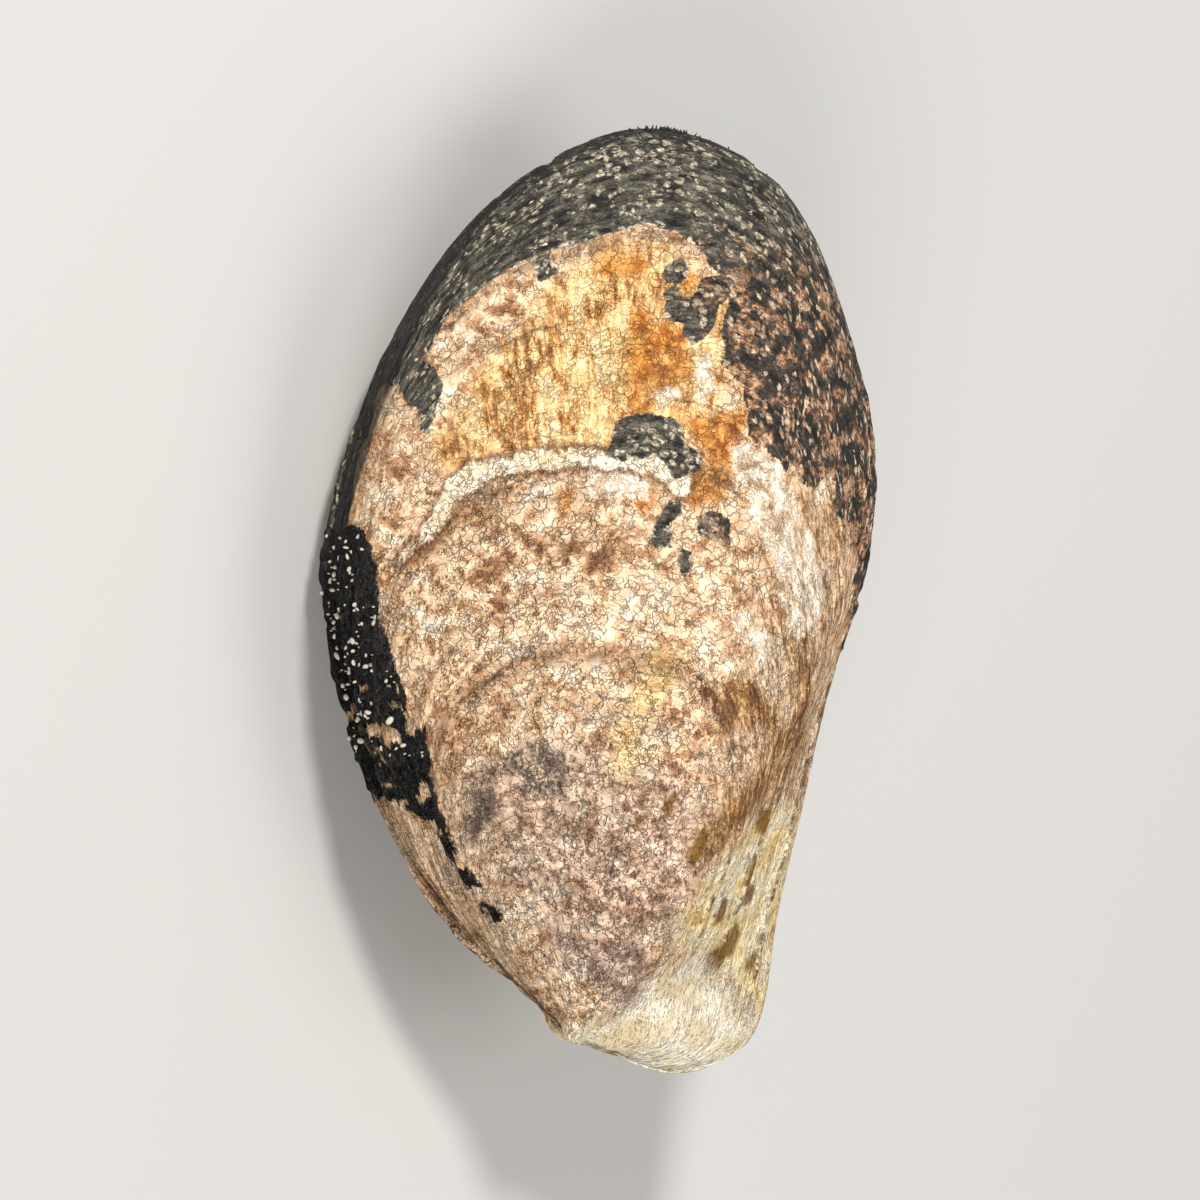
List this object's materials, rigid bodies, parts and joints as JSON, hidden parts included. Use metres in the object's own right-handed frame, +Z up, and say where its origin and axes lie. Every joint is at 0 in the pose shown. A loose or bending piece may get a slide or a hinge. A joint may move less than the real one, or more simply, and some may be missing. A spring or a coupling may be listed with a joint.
{
  "type": "mussel shell",
  "caption": "Closed, weathered mussel shell with both valves, held together along the back by its dried ligament and lying on its right valve.",
  "frame": {"origin": "on the surface it rests on, under the middle of its outline seen from above", "axes": "+Z up, +Y along the shell towards its hind end, +X towards the belly edge, beaks towards -Y"},
  "size_m": [0.0636, 0.1124, 0.046],
  "materials": {
    "left_valve": "worn chalky shell with grey skin left near the edge",
    "right_valve": "worn chalky shell with grey skin left near the edge",
    "ligament": "dried, dark and slightly glossy"
  },
  "bodies": {
    "root": {"left_valve": "left_valve", "right_valve": "right_valve", "ligament": "ligament"}
  },
  "joints": []
}
